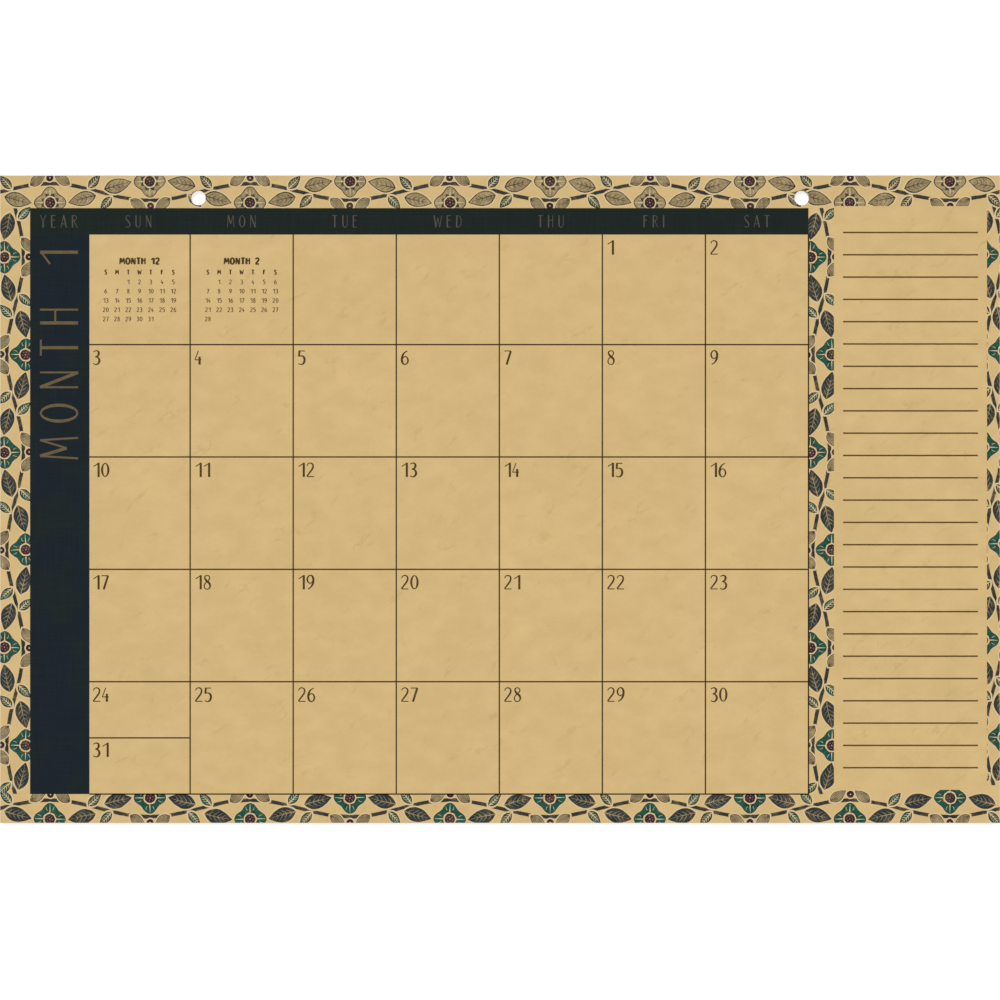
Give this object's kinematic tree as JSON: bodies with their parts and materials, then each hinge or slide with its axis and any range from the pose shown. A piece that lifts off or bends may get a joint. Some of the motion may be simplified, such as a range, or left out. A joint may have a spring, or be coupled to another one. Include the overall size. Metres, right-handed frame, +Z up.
{
  "type": "desk pad calendar",
  "caption": "Large tear-off desk pad calendar: a stack of printed month sheets on a chipboard back, glued along the top edge and drilled for hanging.",
  "frame": {"origin": "middle of the pad's underside, on the surface that it lies on", "axes": "+X along the long side to the notes panel, +Y to the glued top edge, +Z up out of the printed face"},
  "size_m": [0.4318, 0.2798, 0.0024],
  "materials": {
    "printed_paper": "uncoated text paper with a parchment tint, printed in dark ink on its top face",
    "chipboard": "unlined grey-brown chipboard",
    "padding_glue": "dried white padding glue, satin"
  },
  "bodies": {
    "root": {"month_sheets": "printed_paper", "backing_board": "chipboard", "glue_binding": "padding_glue"}
  },
  "joints": []
}
